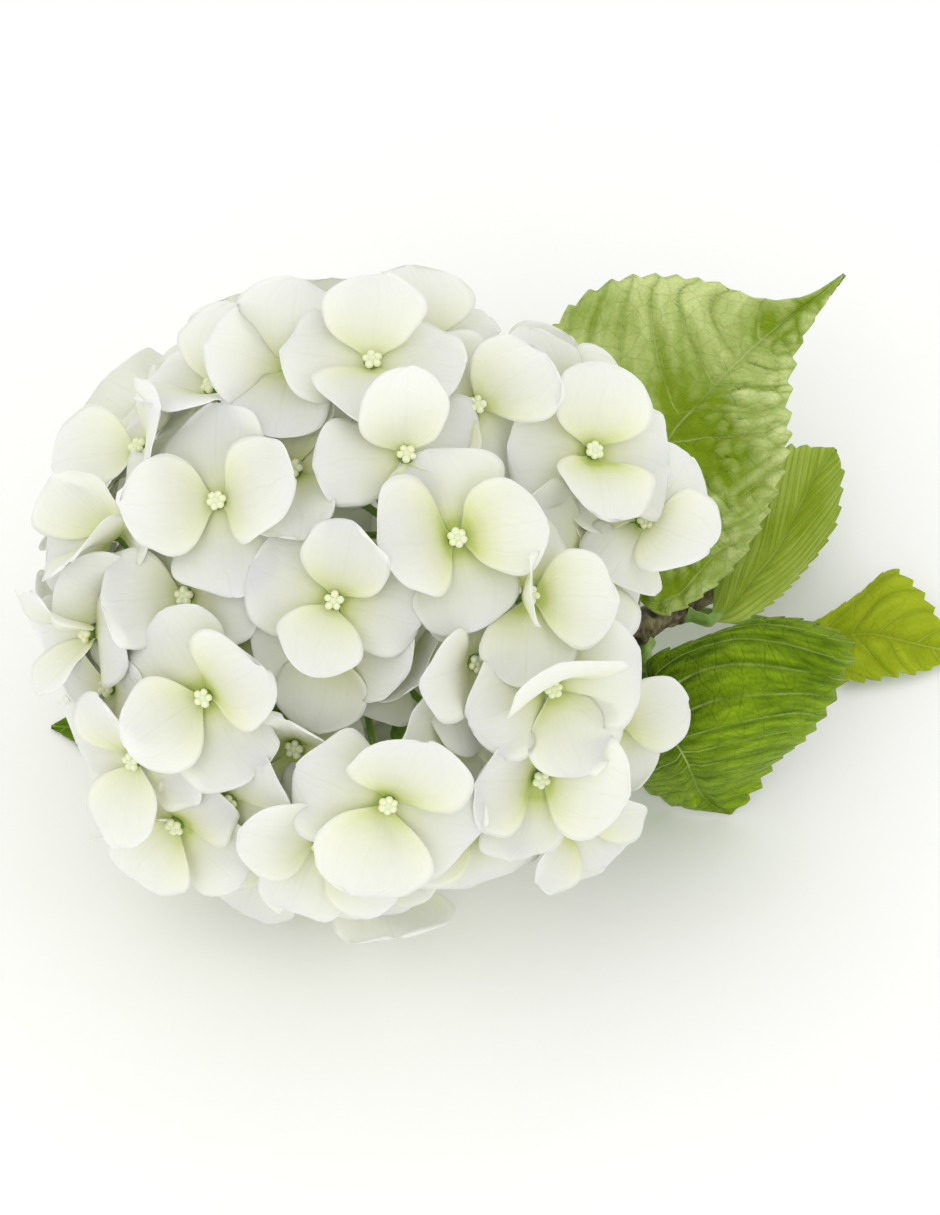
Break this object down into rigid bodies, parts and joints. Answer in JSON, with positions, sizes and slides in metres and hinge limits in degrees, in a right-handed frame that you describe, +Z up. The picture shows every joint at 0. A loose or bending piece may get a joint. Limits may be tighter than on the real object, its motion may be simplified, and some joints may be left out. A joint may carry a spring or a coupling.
{
  "type": "cut hydrangea",
  "caption": "Round mophead flower head of pale florets on a green branching stalk, with toothed green leaves on a short woody stem, lying down.",
  "frame": {"origin": "middle of the footprint of the lying stem, on the table", "axes": "+X from the flower head towards the cut end of the stem, +Y away from the side that shows, +Z up from the table"},
  "size_m": [0.2564, 0.2215, 0.1722],
  "materials": {
    "sepals": "soft matt",
    "leaves": "satin",
    "flower_stalk": "satin",
    "bark": "matt"
  },
  "bodies": {
    "root": {"floret_01": "sepals", "floret_02": "sepals", "floret_03": "sepals", "floret_04": "sepals", "floret_05": "sepals", "floret_06": "sepals", "floret_07": "sepals", "floret_08": "sepals", "floret_09": "sepals", "floret_10": "sepals", "floret_11": "sepals", "floret_12": "sepals", "floret_13": "sepals", "floret_14": "sepals", "floret_15": "sepals", "floret_16": "sepals", "floret_17": "sepals", "floret_18": "sepals", "floret_19": "sepals", "floret_20": "sepals", "floret_21": "sepals", "floret_22": "sepals", "floret_23": "sepals", "floret_24": "sepals", "floret_25": "sepals", "floret_26": "sepals", "floret_27": "sepals", "floret_28": "sepals", "floret_29": "sepals", "floret_30": "sepals", "floret_31": "sepals", "floret_32": "sepals", "floret_33": "sepals", "floret_34": "sepals", "floret_35": "sepals", "floret_36": "sepals", "floret_37": "sepals", "floret_38": "sepals", "floret_39": "sepals", "floret_40": "sepals", "floret_cluster_01": "sepals", "floret_cluster_02": "sepals", "floret_cluster_03": "sepals", "floret_cluster_04": "sepals", "floret_cluster_05": "sepals", "floret_cluster_06": "sepals", "floret_cluster_07": "sepals", "floret_cluster_08": "sepals", "floret_cluster_09": "sepals", "floret_cluster_10": "sepals", "flower_stalk": "flower_stalk", "leaf_front": "leaves", "leaf_middle": "leaves", "leaf_right": "leaves", "leaf_under": "leaves", "leaf_upper": "leaves", "woody_stem": "bark"}
  },
  "joints": []
}
